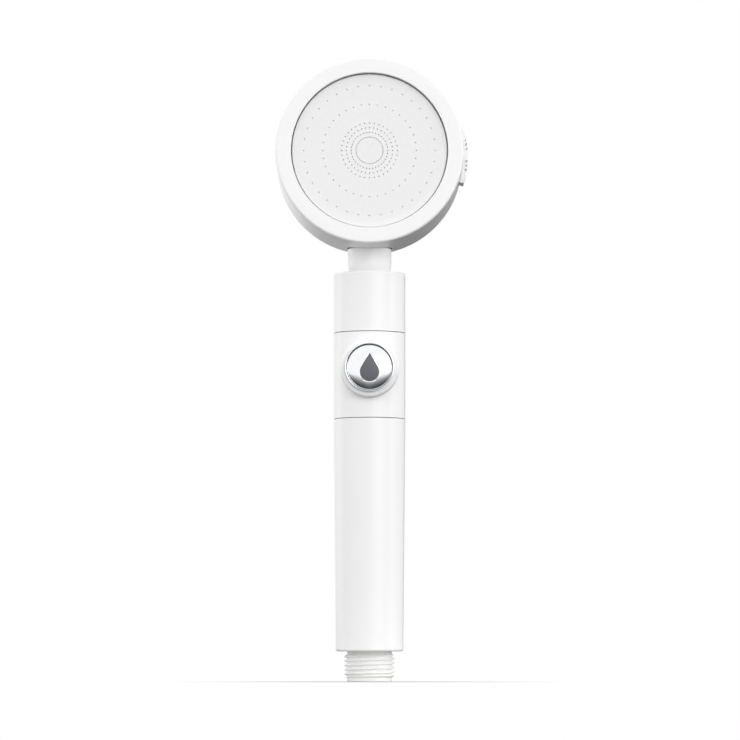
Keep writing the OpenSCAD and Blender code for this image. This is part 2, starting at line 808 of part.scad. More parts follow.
head_drum();
back_cover();
spray_plate();
channel_plate();
zone_gasket();
selector_rotor();
mode_slider();
detent_spring();
port_seals();
chamber_body();
chamber_lid();
chamber_screws();
neck_pipe();
neck_o_rings();
upper_sleeve();
upper_core();
core_seal();
valve_housing();
housing_o_rings();
button_ring();
button_cap();
button_icon();
valve_plunger();
plunger_seals();
valve_spring();
valve_cartridge();
grip_tube();
filter_core();
filter_caps();
filter_gasket();
inlet_connector();
inlet_screen();
connector_seal();
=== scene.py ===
"""Handheld shower head: round three-mode head, chrome stop button and filter handle.

Metres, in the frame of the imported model: the hose thread's lower end is at the origin,
+Z runs up the handle and the spray face looks towards -Y.
"""
import json
import math

import bmesh
import bpy
from mathutils import Matrix, Vector


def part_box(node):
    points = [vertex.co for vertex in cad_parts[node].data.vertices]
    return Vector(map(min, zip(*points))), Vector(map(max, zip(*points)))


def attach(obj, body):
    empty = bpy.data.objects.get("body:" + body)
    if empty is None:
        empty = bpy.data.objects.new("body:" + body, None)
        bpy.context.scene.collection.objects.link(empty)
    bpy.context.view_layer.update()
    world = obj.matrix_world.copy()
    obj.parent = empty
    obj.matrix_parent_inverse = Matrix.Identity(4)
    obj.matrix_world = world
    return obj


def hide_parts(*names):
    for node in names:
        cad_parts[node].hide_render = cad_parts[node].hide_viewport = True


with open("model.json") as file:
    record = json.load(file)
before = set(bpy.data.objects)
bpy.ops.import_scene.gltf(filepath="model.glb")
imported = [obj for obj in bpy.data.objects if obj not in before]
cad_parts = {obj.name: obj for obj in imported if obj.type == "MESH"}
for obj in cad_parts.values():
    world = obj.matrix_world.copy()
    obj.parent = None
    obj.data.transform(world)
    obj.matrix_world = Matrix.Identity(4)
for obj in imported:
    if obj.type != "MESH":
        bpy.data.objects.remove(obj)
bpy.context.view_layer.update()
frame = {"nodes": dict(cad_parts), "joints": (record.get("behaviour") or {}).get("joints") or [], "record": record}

MM = 0.001
UP = Vector((0, 0, 1))
scene = bpy.context.scene
joints = {joint["name"]: joint for joint in frame["joints"]}


# ---- Sizes and places ----
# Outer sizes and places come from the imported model. Walls, gaps and roundings are given here.

def radius_of(node):
    low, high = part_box(node)
    return (high.x - low.x) / 2


def turned_frame(origin, right, outward):
    """Placement whose X is right, Z is outward and Y is square to both."""
    upward = outward.cross(right)
    turn = Matrix((right, upward, outward)).transposed().to_4x4()
    return Matrix.Translation(origin) @ turn


RIGHT = Vector((1, 0, 0))
face_out = Vector(joints["mode_turn"]["axis"]).normalized()
face_centre = Vector(joints["mode_turn"]["pos_m"])
head_place = turned_frame(face_centre, RIGHT, face_out)

grip_low, grip_high = (corner.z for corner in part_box("grip_tube"))
sleeve_low, sleeve_high = (corner.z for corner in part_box("upper_sleeve"))
handle_r = radius_of("upper_sleeve")
head_r = radius_of("head_drum")
button_low, button_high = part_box("button_cap")
button_z = (button_low.z + button_high.z) / 2
button_r = radius_of("button_cap")
button_crown = -button_low.y
button_back = -button_high.y
ring_r = radius_of("button_ring")
ring_back, ring_front = (-corner.y for corner in reversed(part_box("button_ring")))
valve_place = turned_frame(Vector((0, 0, button_z)), RIGHT, Vector((0, -1, 0)))

HEAD_STEPS = 144
HANDLE_STEPS = 128
ROD_STEPS = 96
EDGE_ROUND = 0.3 * MM
PLUG_ROUND = 0.4 * MM
SEAM_ROUND = 0.12 * MM
MOUTH_ROUND = 0.2 * MM
GROOVE_HALF = 1 * MM
FIT_GAP = 0.15 * MM
OVERSHOOT = 1 * MM

HEAD_DEPTH = 33.8 * MM
HEAD_DRAFT = 0.1 * MM
HEAD_WALL = 1.8 * MM
RIM_WIDTH = 6.55 * MM
HEAD_BORE_R = head_r - HEAD_DRAFT - HEAD_WALL
RECESS_R = head_r - RIM_WIDTH
LIP_DEPTH = 5.4 * MM
LIP_WALL = 2 * MM
PLATE_RECESS = 2 * MM
PLATE_R = radius_of("spray_plate")
PLATE_WALL = 1.2 * MM
PAD_DEPTH = 17 * MM
SLOT_HALF_WIDTH = 2 * MM
SLOT_HALF_TURN = math.radians(20)

SEAM_GAP = 0.25 * MM
SOCKET_R = handle_r - 2.2 * MM
SPIGOT_R = SOCKET_R - FIT_GAP
GRIP_END_R = handle_r - 0.9 * MM
GRIP_BORE_R = GRIP_END_R - 2.1 * MM
GRIP_FLOOR = 3 * MM
WATER_BORE_R = 4.5 * MM


# ---- Mesh helpers ----

# Points closer than one of these distances count as one point.
HAIR = 1e-8
FINE = 1e-7
COARSE = 1e-6
# A wider rounding than this gets more segments.
WIDE_ROUND = 0.5 * MM


def merge(bm, distance):
    bmesh.ops.remove_doubles(bm, verts=bm.verts, dist=distance)


def face_outwards(bm):
    bmesh.ops.recalc_face_normals(bm, faces=bm.faces)


def only(kind, items):
    return [item for item in items if isinstance(item, kind)]


def everything(bm):
    return list(bm.verts) + list(bm.edges) + list(bm.faces)


def closed_line(bm, corners):
    return [bm.edges.new(pair) for pair in zip(corners, corners[1:] + corners[:1])]


def ring_edges(bm, radius, height):
    """The loop of edges at that radius from the Z axis and that height."""
    def on_ring(vert):
        return (abs(math.hypot(vert.co.x, vert.co.y) - radius) < 2 * COARSE
                and abs(vert.co.z - height) < 2 * COARSE)
    return [edge for edge in bm.edges if on_ring(edge.verts[0]) and on_ring(edge.verts[1])]


def bevel(bm, edges, width, segments):
    bmesh.ops.bevel(bm, geom=edges, offset=width, offset_type="OFFSET", affect="EDGES",
                    segments=segments, profile=0.5, material=-1, clamp_overlap=True)


def lathe(outline, steps):
    """Closed shell spun about Z from (radius, height, rounding of that corner) in order."""
    bm = bmesh.new()
    corners = [bm.verts.new((radius, 0, height)) for radius, height, _ in outline]
    edges = closed_line(bm, corners)
    bmesh.ops.spin(bm, geom=corners + edges, cent=(0, 0, 0), axis=UP, dvec=(0, 0, 0),
                   angle=2 * math.pi, steps=steps, use_merge=True)
    merge(bm, FINE)
    bmesh.ops.dissolve_degenerate(bm, edges=bm.edges, dist=HAIR)
    face_outwards(bm)
    for radius, height, rounding in outline:
        if rounding:
            bevel(bm, ring_edges(bm, radius, height), rounding, 4 if rounding > WIDE_ROUND else 2)
    return bm


def sector(outline, half_angle, steps):
    """Closed block spun through part of a turn, centred on +X."""
    bm = bmesh.new()
    corners = [bm.verts.new((radius, 0, height)) for radius, height in outline]
    section = bm.faces.new(corners)
    bmesh.ops.rotate(bm, verts=corners, cent=(0, 0, 0),
                     matrix=Matrix.Rotation(-half_angle, 3, "Z"))
    bmesh.ops.spin(bm, geom=[section] + corners + list(section.edges), cent=(0, 0, 0), axis=UP,
                   dvec=(0, 0, 0), angle=2 * half_angle, steps=steps)
    merge(bm, HAIR)
    face_outwards(bm)
    return bm


def rod(radius, low, high):
    return lathe([(0, low, 0), (radius, low, 0), (radius, high, 0), (0, high, 0)], ROD_STEPS)


def new_object(name, bm):
    mesh = bpy.data.meshes.new(name)
    bm.to_mesh(mesh)
    bm.free()
    made = bpy.data.objects.new(name, mesh)
    scene.collection.objects.link(made)
    return made


def boolean(target, operation, *tools):
    """Joins, cuts or meets the target with each tool, all as bmeshes, and gives a new bmesh."""
    for tool in tools:
        body = new_object("working body", target)
        other = new_object("working tool", tool)
        step = body.modifiers.new("step", "BOOLEAN")
        step.operation = operation
        step.solver = "EXACT"
        step.object = other
        bpy.context.view_layer.update()
        result = bpy.data.meshes.new_from_object(body.evaluated_get(
            bpy.context.evaluated_depsgraph_get()))
        target = bmesh.new()
        target.from_mesh(result)
        for used in (body, other):
            bpy.data.objects.remove(used)
        bpy.data.meshes.remove(result)
        merge(target, 2 * FINE)
        bmesh.ops.dissolve_degenerate(target, edges=target.edges, dist=FINE)
    return target


def placed(bm, place):
    bm.transform(place)
    return bm


def piece(name, bm, material, body, nodes, smooth_deg=32):
    """Finished piece: shaded smooth except at its sharp edges, riding on its body."""
    made = new_object(name, bm)
    made.data.materials.append(material)
    made.data.shade_smooth()
    made.data.set_sharp_from_angle(angle=math.radians(smooth_deg))
    even = made.modifiers.new("even shading", "WEIGHTED_NORMAL")
    even.keep_sharp = True
    even.weight = 75
    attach(made, body)
    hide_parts(*nodes)


# ---- Shader helpers ----

class Value:
    """A shader socket that can be used in an expression."""

    def __init__(self, finish, socket):
        self.finish = finish
        self.socket = socket

    def math(self, operation, first, second):
        return self.finish.node("ShaderNodeMath", {"operation": operation},
                                {0: first, 1: second})

    def __add__(self, other):
        return self.math("ADD", self, other)

    def __radd__(self, other):
        return self.math("ADD", other, self)

    def __sub__(self, other):
        return self.math("SUBTRACT", self, other)

    def __rsub__(self, other):
        return self.math("SUBTRACT", other, self)

    def __mul__(self, other):
        return self.math("MULTIPLY", self, other)

    def __rmul__(self, other):
        return self.math("MULTIPLY", other, self)

    def size(self):
        return self.finish.node("ShaderNodeMath", {"operation": "ABSOLUTE"}, {0: self})


class Finish:
    """A node tree that is written as expressions."""

    def __init__(self, owner):
        self.owner = owner
        owner.use_nodes = True
        self.tree = owner.node_tree
        self.tree.nodes.clear()

    def node(self, kind, settings=None, sockets=None, output=0):
        made = self.tree.nodes.new(kind)
        for key, value in (settings or {}).items():
            setattr(made, key, value)
        for key, value in (sockets or {}).items():
            if isinstance(value, Value):
                self.tree.links.new(value.socket, made.inputs[key])
            else:
                made.inputs[key].default_value = value
        return Value(self, made.outputs[output]) if len(made.outputs) else None

    def place(self):
        return self.node("ShaderNodeTexCoord", output="Object")

    def part(self, vector, letter):
        return self.node("ShaderNodeSeparateXYZ", None, {0: vector}, output=letter)

    def ray(self, kind):
        return self.node("ShaderNodeLightPath", output=kind)

    def blended(self, factor, first, second):
        return self.node("ShaderNodeMixShader", None, {0: factor, 1: first, 2: second})

    def noise(self, scale, detail, roughness=0.5, vector=None):
        return self.node("ShaderNodeTexNoise", None,
                         {"Vector": vector or self.place(), "Scale": scale, "Detail": detail,
                          "Roughness": roughness})

    def mix(self, factor, first, second):
        return self.node("ShaderNodeMix", {"data_type": "RGBA"},
                         {0: factor, 6: first, 7: second}, output=2)

    def over(self, distance, start, end, first, last):
        """Eases from the first value to the last between the start and end distances."""
        return self.node("ShaderNodeMapRange", {"interpolation_type": "SMOOTHSTEP"},
                         {"Value": distance, "From Min": start, "From Max": end,
                          "To Min": first, "To Max": last})

    def bump(self, height, strength, distance):
        return self.node("ShaderNodeBump", None,
                         {"Height": height, "Strength": strength, "Distance": distance})

    def surface(self, sockets):
        shader = self.node("ShaderNodeBsdfPrincipled", None, sockets)
        self.node("ShaderNodeOutputMaterial", None, {"Surface": shader})
        return self.owner


def finish_named(name):
    return Finish(bpy.data.materials.new(name))


def grey(level):
    return (level, level, level, 1)


# ---- Finishes ----

PLASTIC_IOR = 1.49
FLOW_SHADE = 0.975
GLOSS_SPREAD = 0.08


def moulded_plastic(name, colour, roughness, grain, grain_depth, extra=None):
    """Moulded plastic: faint flow marks in its colour, uneven gloss and a fine skin texture."""
    finish = finish_named(name)
    flow = finish.noise(scale=38, detail=3)
    skin = finish.noise(scale=grain, detail=2)
    sink_marks = finish.noise(scale=60, detail=1)
    worn = finish.noise(scale=240, detail=3)
    darker = tuple(channel * FLOW_SHADE for channel in colour)
    sockets = {
        "Base Color": finish.mix(flow, darker + (1,), colour + (1,)),
        "Roughness": roughness - GLOSS_SPREAD / 2 + GLOSS_SPREAD * worn,
        "Normal": finish.bump(skin + 2 * sink_marks, strength=0.35, distance=grain_depth),
        "IOR": PLASTIC_IOR,
    }
    sockets.update(extra or {})
    return finish.surface(sockets)


def polished_chrome():
    """Chrome plate on plastic: almost a mirror, with slight waves and hairline wiping marks."""
    finish = finish_named("polished chrome")
    waves = finish.noise(scale=70, detail=1)
    wiped = finish.noise(scale=900, detail=4)
    return finish.surface({
        "Base Color": finish.mix(wiped, (0.80, 0.81, 0.83, 1), (0.90, 0.91, 0.92, 1)),
        "Metallic": 1.0,
        "Roughness": 0.07 + 0.05 * wiped,
        "Normal": finish.bump(waves, strength=0.25, distance=0.02 * MM),
    })


def rubber(name, shade):
    """Matt seal rubber with a fine bloom."""
    finish = finish_named(name)
    bloom = finish.noise(scale=420, detail=4)
    return finish.surface({
        "Base Color": finish.mix(bloom, grey(shade), grey(shade * 2.2)),
        "Roughness": 0.62 + 0.2 * bloom,
        "Normal": finish.bump(bloom, strength=0.4, distance=0.03 * MM),
    })


def drawn_steel():
    """Stainless steel with streaks along its length."""
    finish = finish_named("drawn steel")
    stretched = finish.node("ShaderNodeMapping", None,
                            {"Vector": finish.place(), "Scale": (1, 1, 0.06)})
    streaks = finish.noise(scale=1800, detail=3, vector=stretched)
    return finish.surface({
        "Base Color": finish.mix(streaks, grey(0.50), grey(0.72)),
        "Metallic": 1.0,
        "Roughness": 0.22 + 0.18 * streaks,
        "Normal": finish.bump(streaks, strength=0.3, distance=0.01 * MM),
    })


def felt():
    """Matted filter fibre."""
    finish = finish_named("filter felt")
    fibres = finish.noise(scale=1400, detail=6, roughness=0.7)
    tufts = finish.noise(scale=260, detail=3)
    return finish.surface({
        "Base Color": finish.mix(tufts, (0.80, 0.79, 0.74, 1), (0.93, 0.92, 0.88, 1)),
        "Roughness": 0.86 + 0.1 * fibres,
        "Normal": finish.bump(fibres + tufts, strength=0.8, distance=0.2 * MM),
    })


white_shell = moulded_plastic("gloss white plastic", (0.86, 0.86, 0.86), roughness=0.30,
                              grain=900, grain_depth=0.010 * MM)
plate_white = moulded_plastic("satin white plate", (0.79, 0.79, 0.79), roughness=0.42,
                              grain=1500, grain_depth=0.014 * MM)
thread_white = moulded_plastic("natural white plastic", (0.86, 0.86, 0.85), roughness=0.36,
                               grain=700, grain_depth=0.016 * MM,
                               extra={"Subsurface Weight": 0.25,
                                      "Subsurface Scale": 1.2 * MM,
                                      "Subsurface Radius": (1.0, 1.0, 1.0)})
inner_grey = moulded_plastic("pale grey plastic", (0.70, 0.71, 0.73), roughness=0.45,
                             grain=800, grain_depth=0.02 * MM)
moving_grey = moulded_plastic("slippery grey plastic", (0.62, 0.63, 0.65), roughness=0.38,
                              grain=800, grain_depth=0.02 * MM)
cap_blue = moulded_plastic("blue cap plastic", (0.10, 0.28, 0.55), roughness=0.40,
                           grain=800, grain_depth=0.02 * MM)
mark_grey = moulded_plastic("dark grey inlay", (0.11, 0.115, 0.125), roughness=0.45,
                            grain=900, grain_depth=0.02 * MM)
chrome = polished_chrome()
seal_black = rubber("seal rubber", 0.012)
steel = drawn_steel()
fibre = felt()


# ---- Head ----

RIM_INNER_ROUND = 0.25 * MM
RIM_OUTER_ROUND = 1.0 * MM
HEAD_BACK_ROUND = 1.5 * MM
NECK_HOLE_R = 9.4 * MM
NECK_HOLE_RISE = 16.6 * MM


def head_drum():
    """Shell of the head: flat rim, recess, deep wall, slider slot and neck hole."""
    def wall_at(depth):
        return head_r - HEAD_DRAFT * depth / HEAD_DEPTH

    slot_front = PAD_DEPTH - SLOT_HALF_WIDTH
    slot_back = PAD_DEPTH + SLOT_HALF_WIDTH
    cover_seat = 27 * MM
    outline = [(RECESS_R, -LIP_DEPTH, 0), (RECESS_R, 0, RIM_INNER_ROUND),
               (head_r, 0, RIM_OUTER_ROUND)]
    for depth in (5 * MM, 10 * MM, slot_front, slot_back, 23 * MM, cover_seat, 30 * MM):
        outline.append((wall_at(depth), -depth, 0))
    outline += [(head_r - HEAD_DRAFT, -HEAD_DEPTH, HEAD_BACK_ROUND),
                (HEAD_BORE_R, -HEAD_DEPTH, EDGE_ROUND), (HEAD_BORE_R, -cover_seat, 0),
                (HEAD_BORE_R, -slot_back, 0), (HEAD_BORE_R, -slot_front, 0),
                (HEAD_BORE_R, -LIP_WALL, 0), (RECESS_R + LIP_WALL, -LIP_WALL, 0),
                (RECESS_R + LIP_WALL, -LIP_DEPTH, 0)]
    bm = lathe(outline, HEAD_STEPS)

    def in_slot(face):
        middle = face.calc_center_median()
        turn = math.atan2(middle.y, middle.x)
        reach = math.hypot(middle.x, middle.y)
        return (abs(turn) < SLOT_HALF_TURN and slot_front < -middle.z < slot_back
                and reach > HEAD_BORE_R - HEAD_WALL / 2)

    opened = [face for face in bm.faces if in_slot(face)]
    bmesh.ops.delete(bm, geom=opened, context="FACES")
    mouths = [edge for edge in bm.edges if edge.is_boundary]
    bmesh.ops.bridge_loops(bm, edges=mouths)
    face_outwards(bm)
    neck_hole = rod(NECK_HOLE_R, sleeve_high, sleeve_high + NECK_HOLE_RISE)
    return boolean(placed(bm, head_place), "DIFFERENCE", neck_hole)


piece("head_shell", head_drum(), white_shell, "handset", ["head_drum"])


COVER_DOME = 1.4 * MM
COVER_WALL = 1.2 * MM
COVER_RIM = 1.8 * MM
COVER_RIM_WIDTH = 3 * MM
COVER_RING_AT = 0.84
COVER_RING_SUNK = 0.35 * MM


def back_cover():
    """Domed cover with a shallow ring in it, pressed into the back of the head."""
    edge_r = HEAD_BORE_R - FIT_GAP
    inner_r = edge_r - COVER_RIM_WIDTH
    outline = [(0, -HEAD_DEPTH + COVER_WALL, 0), (inner_r, -HEAD_DEPTH + COVER_WALL, 0),
               (inner_r, -HEAD_DEPTH + COVER_RIM, 0), (edge_r, -HEAD_DEPTH + COVER_RIM, 0),
               (edge_r, -HEAD_DEPTH, EDGE_ROUND)]
    for share in (0.93, 0.86, COVER_RING_AT, 0.82, 0.7, 0.55, 0.4, 0.25, 0.1, 0.0):
        sunk = COVER_RING_SUNK if share == COVER_RING_AT else 0
        outline.append((edge_r * share, -HEAD_DEPTH - COVER_DOME * (1 - share ** 2) + sunk, 0))
    return placed(lathe(outline, HEAD_STEPS), head_place)


piece("head_back_cover", back_cover(), white_shell, "handset", ["back_cover"])

RING_HOLES = 36
HOLE_RINGS = [5.6 * MM, 7.58 * MM, 9.56 * MM, 11.54 * MM, 19.42 * MM, 27.3 * MM]
HOLE_R = 0.22 * MM
HOLE_CHAMFER = 0.06 * MM
HOLE_SIDES = 8
HUB_MARGIN = 1.2 * MM
PLATE_MARGIN = 0.8 * MM


def spray_plate():
    """Plate of 36 equal wedges, each with one chamfered hole for every ring."""
    bm = bmesh.new()
    half = math.pi / RING_HOLES
    front = -PLATE_RECESS
    back = front - PLATE_WALL
    edges_between = [(a + b) / 2 for a, b in zip(HOLE_RINGS, HOLE_RINGS[1:])]
    cell_edges = [HOLE_RINGS[0] - HUB_MARGIN] + edges_between + [PLATE_R - PLATE_MARGIN]

    def cell_outline(inner, outer, height):
        corners = []
        middle = (inner + outer) / 2
        for reach, share in ((inner, -1), (middle, -1), (outer, -1), (outer, 0),
                             (outer, 1), (middle, 1), (inner, 1), (inner, 0)):
            turn = half * share
            corners.append(bm.verts.new((reach * math.cos(turn), reach * math.sin(turn),
                                         height)))
        return closed_line(bm, corners)

    for hole_at, inner, outer in zip(HOLE_RINGS, cell_edges, cell_edges[1:]):
        mouth = bmesh.ops.create_circle(bm, cap_ends=False, segments=HOLE_SIDES,
                                        radius=HOLE_R + HOLE_CHAMFER,
                                        matrix=Matrix.Translation((hole_at, 0, front))
                                        @ Matrix.Rotation(-3 * half, 4, "Z"))["verts"]
        ring = list(dict.fromkeys(edge for vert in mouth for edge in vert.link_edges))
        bmesh.ops.bridge_loops(bm, edges=cell_outline(inner, outer, front) + ring)
        for drop, scale in ((HOLE_CHAMFER, HOLE_R / (HOLE_R + HOLE_CHAMFER)),
                            (PLATE_WALL - HOLE_CHAMFER, 1)):
            grown = bmesh.ops.extrude_edge_only(bm, edges=ring)["geom"]
            verts = only(bmesh.types.BMVert, grown)
            ring = only(bmesh.types.BMEdge, grown)
            bmesh.ops.scale(bm, verts=verts, vec=(scale, scale, 1),
                            space=Matrix.Translation((-hole_at, 0, 0)))
            bmesh.ops.translate(bm, verts=verts, vec=(0, 0, -drop))
        bmesh.ops.bridge_loops(bm, edges=cell_outline(inner, outer, back) + ring)
    merge(bm, FINE)
    bmesh.ops.rotate(bm, verts=bm.verts, cent=(0, 0, 0),
                     matrix=Matrix.Rotation(math.pi / 2, 3, "Z"))
    copies = RING_HOLES - 1
    bmesh.ops.spin(bm, geom=everything(bm), cent=(0, 0, 0), axis=UP, dvec=(0, 0, 0),
                   angle=2 * math.pi * copies / RING_HOLES, steps=copies, use_duplicate=True)
    merge(bm, COARSE)
    hub_reach = cell_edges[0] + 10 * COARSE
    middle_loops = [edge for edge in bm.edges
                    if edge.is_boundary and edge.verts[0].co.xy.length < hub_reach]
    bmesh.ops.holes_fill(bm, edges=middle_loops, sides=0)
    outer_loops = [edge for edge in bm.edges if edge.is_boundary]
    grown = bmesh.ops.extrude_edge_only(bm, edges=outer_loops)["geom"]
    widen = PLATE_R / cell_edges[-1]
    bmesh.ops.scale(bm, verts=only(bmesh.types.BMVert, grown), vec=(widen, widen, 1))
    bmesh.ops.bridge_loops(bm, edges=only(bmesh.types.BMEdge, grown))
    face_outwards(bm)
    bevel(bm, ring_edges(bm, PLATE_R, front), RIM_INNER_ROUND, 3)
    return placed(bm, head_place)


piece("spray_face", spray_plate(), plate_white, "handset", ["spray_plate"])

PAD_HALF_TURN = math.radians(17)
PAD_HALF_WIDTH = 4.2 * MM
PAD_GAP = 0.05 * MM
PAD_STEPS = 68
PAD_ROUND = 0.6 * MM
GROOVES_DEG = (-8.9, -6.3, -3.7, 3.7, 6.3, 8.9)
GROOVE_BLOCK = (1.8 * MM, 1.0 * MM, 12 * MM)
GROOVE_LIFT = 0.1 * MM
STEM_BACK_R = HEAD_BORE_R - 0.3 * MM
STEM_SINK = 0.3 * MM
STEM_HALF_WIDTH = 1.7 * MM
STEM_HALF_TURN = math.radians(5)
STEM_STEPS = 12


def mode_slider():
    """Curved thumb pad with two groups of three grooves, and the stem behind it."""
    inner = head_r + PAD_GAP
    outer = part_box("mode_slider")[1].x

    def block(low_r, high_r, half_width, half_turn, steps):
        front, back = -PAD_DEPTH + half_width, -PAD_DEPTH - half_width
        return sector([(low_r, back), (high_r, back), (high_r, front), (low_r, front)],
                      half_turn, steps)

    pad = block(inner, outer, PAD_HALF_WIDTH, PAD_HALF_TURN, PAD_STEPS)
    outer_corners = [edge for edge in pad.edges
                     if edge.calc_face_angle(0) > math.radians(60)
                     and max(vert.co.xy.length for vert in edge.verts) > outer - 10 * COARSE]
    bevel(pad, outer_corners, PAD_ROUND, 4)
    cutters = []
    for turn in GROOVES_DEG:
        groove = bmesh.new()
        bmesh.ops.create_cube(groove, size=1)
        bmesh.ops.scale(groove, verts=groove.verts, vec=GROOVE_BLOCK)
        floor_edges = [edge for edge in groove.edges
                       if all(vert.co.x < 0 for vert in edge.verts)
                       and abs(edge.verts[0].co.z - edge.verts[1].co.z) > 10 * MM]
        bevel(groove, floor_edges, EDGE_ROUND, 3)
        bmesh.ops.translate(groove, verts=groove.verts, vec=(outer + GROOVE_LIFT, 0, -PAD_DEPTH))
        cutters.append(placed(groove, Matrix.Rotation(math.radians(turn), 4, "Z")))
    pad = boolean(pad, "DIFFERENCE", *cutters)
    stem = block(STEM_BACK_R, inner + STEM_SINK, STEM_HALF_WIDTH, STEM_HALF_TURN, STEM_STEPS)
    return placed(boolean(pad, "UNION", stem), head_place)


piece("mode_thumb_slider", mode_slider(), white_shell, "mode_selector",
      ["mode_slider"])


# ---- Neck and handle ----

NECK_R = 9.1 * MM
NECK_PLUG_R = 8.2 * MM
NECK_FOOT = ((8.2, 0.4), (8.45, 1.1), (8.8, 1.9), (9.0, 2.8), (9.1, 4.0))
NECK_TIP_R = 5.3 * MM
NECK_TIP_BORE_R = 3.5 * MM


def neck_pipe():
    """Round neck with a plug and its groove below, a rounded foot, and a grooved tip above."""
    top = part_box("neck_pipe")[1].z
    plug_low = sleeve_high - 12 * MM
    groove = sleeve_high - 7 * MM
    groove_r = 6.9 * MM
    shoulder = sleeve_high + 10.4 * MM
    tip_low, tip_groove_low, tip_groove_high = (
        shoulder + rise for rise in (1 * MM, 2.4 * MM, 4 * MM))
    foot = [(radius * MM, sleeve_high + rise * MM, 0) for radius, rise in NECK_FOOT]
    outline = [(WATER_BORE_R, plug_low, 0), (NECK_PLUG_R, plug_low, PLUG_ROUND),
               (NECK_PLUG_R, groove - GROOVE_HALF, 0), (groove_r, groove - GROOVE_HALF, 0),
               (groove_r, groove + GROOVE_HALF, 0), (NECK_PLUG_R, groove + GROOVE_HALF, 0),
               *foot, (NECK_R, shoulder, 0.5 * MM), (NECK_TIP_R, tip_low, 0),
               (NECK_TIP_R, tip_groove_low, 0), (WATER_BORE_R, tip_groove_low, 0),
               (WATER_BORE_R, tip_groove_high, 0), (NECK_TIP_R, tip_groove_high, 0),
               (NECK_TIP_R, top, EDGE_ROUND), (NECK_TIP_BORE_R, top, 0),
               (NECK_TIP_BORE_R, shoulder, 0), (WATER_BORE_R, shoulder - 3 * MM, 0)]
    return lathe(outline, HANDLE_STEPS)


piece("neck", neck_pipe(), white_shell, "handset", ["neck_pipe"])


TUBE_END_ROUND = 0.8 * MM


def upper_sleeve():
    """Top of the handle: a tube whose roof holds the neck."""
    hole_r = 8.35 * MM
    roof_low = sleeve_high - 3 * MM
    outline = [(SOCKET_R, sleeve_low, MOUTH_ROUND), (handle_r, sleeve_low, SEAM_ROUND),
               (handle_r, sleeve_high, TUBE_END_ROUND), (hole_r, sleeve_high, MOUTH_ROUND),
               (hole_r, roof_low, 0), (SOCKET_R, roof_low, 0)]
    return lathe(outline, HANDLE_STEPS)


piece("handle_top_sleeve", upper_sleeve(), white_shell, "handset",
      ["upper_sleeve"])


def grip_tube():
    """Long tapered tube with a socket at its top and a floor round the hose end."""
    hole_r = 11.15 * MM
    socket_low = grip_high - 9.9 * MM
    floor_top = grip_low + GRIP_FLOOR
    outline = [(hole_r, grip_low, MOUTH_ROUND), (GRIP_END_R, grip_low, TUBE_END_ROUND),
               (handle_r, grip_high, SEAM_ROUND), (SOCKET_R, grip_high, MOUTH_ROUND),
               (SOCKET_R, socket_low, 0), (GRIP_BORE_R, socket_low, 0),
               (GRIP_BORE_R, floor_top, 0), (hole_r, floor_top, 0)]
    return lathe(outline, HANDLE_STEPS)


piece("handle_grip", grip_tube(), white_shell, "handset", ["grip_tube"])


BOSS_R = 12.3 * MM
BOSS_FRONT = 18 * MM
BOSS_ROUND = 1.2 * MM


def valve_housing():
    """Middle of the handle with its two spigots, the boss, and the bores for ring and valve."""
    low = grip_high + SEAM_GAP
    high = sleeve_low - SEAM_GAP
    spigot_low, spigot_high = (corner.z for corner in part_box("valve_housing"))
    groove_r = SPIGOT_R - 1.3 * MM

    def seal_groove(middle):
        return [(SPIGOT_R, middle - GROOVE_HALF, 0), (groove_r, middle - GROOVE_HALF, 0),
                (groove_r, middle + GROOVE_HALF, 0), (SPIGOT_R, middle + GROOVE_HALF, 0)]

    body = [(0, spigot_low, 0), (SPIGOT_R, spigot_low, PLUG_ROUND),
            *seal_groove(grip_high - 4.5 * MM),
            (SPIGOT_R, low, 0), (handle_r, low, SEAM_ROUND),
            (handle_r, high, SEAM_ROUND), (SPIGOT_R, high, 0),
            *seal_groove(sleeve_low + 3 * MM),
            (SPIGOT_R, spigot_high, PLUG_ROUND), (0, spigot_high, 0)]
    boss = placed(lathe([(0, 0, 0), (BOSS_R, 0, 0), (BOSS_R, BOSS_FRONT, BOSS_ROUND),
                         (0, BOSS_FRONT, 0)], HANDLE_STEPS), valve_place)
    joined = boolean(lathe(body, HANDLE_STEPS), "UNION", boss)
    valve_back = -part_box("valve_cartridge")[1].y
    ring_pocket = rod(ring_r, ring_back, BOSS_FRONT + OVERSHOOT)
    valve_bore = rod(radius_of("valve_cartridge"), valve_back, ring_back + OVERSHOOT)
    water_way = rod(WATER_BORE_R, spigot_low - OVERSHOOT, spigot_high + OVERSHOOT)
    return boolean(joined, "DIFFERENCE", placed(ring_pocket, valve_place),
                   placed(valve_bore, valve_place), water_way)


piece("valve_body", valve_housing(), white_shell, "handset", ["valve_housing"])


# ---- Stop button ----

BUTTON_GAP = 0.2 * MM
RING_ROUND = 0.18 * MM


def button_ring():
    inner = button_r + BUTTON_GAP
    outline = [(inner, ring_back, 0), (ring_r, ring_back, 0), (ring_r, ring_front, RING_ROUND),
               (inner, ring_front, RING_ROUND)]
    return placed(lathe(outline, HANDLE_STEPS), valve_place)


piece("button_bezel", button_ring(), chrome, "handset", ["button_ring"])

DROP_R = 4 * MM
DROP_START_DEG = 150
DROP_SWEEP_DEG = 240
DROP_STEPS = 24
DOME_RINGS = 12
CAP_EDGE = 19.1 * MM
CAP_WALL = 1.2 * MM
ICON_DEEP = 1.6 * MM
ICON_SINK = 0.1 * MM
ICON_GAP = 0.03 * MM
POCKET_ROUND = 0.1 * MM
ICON_ROUND = 0.08 * MM
LEVEL_WITHIN = 0.3 * MM


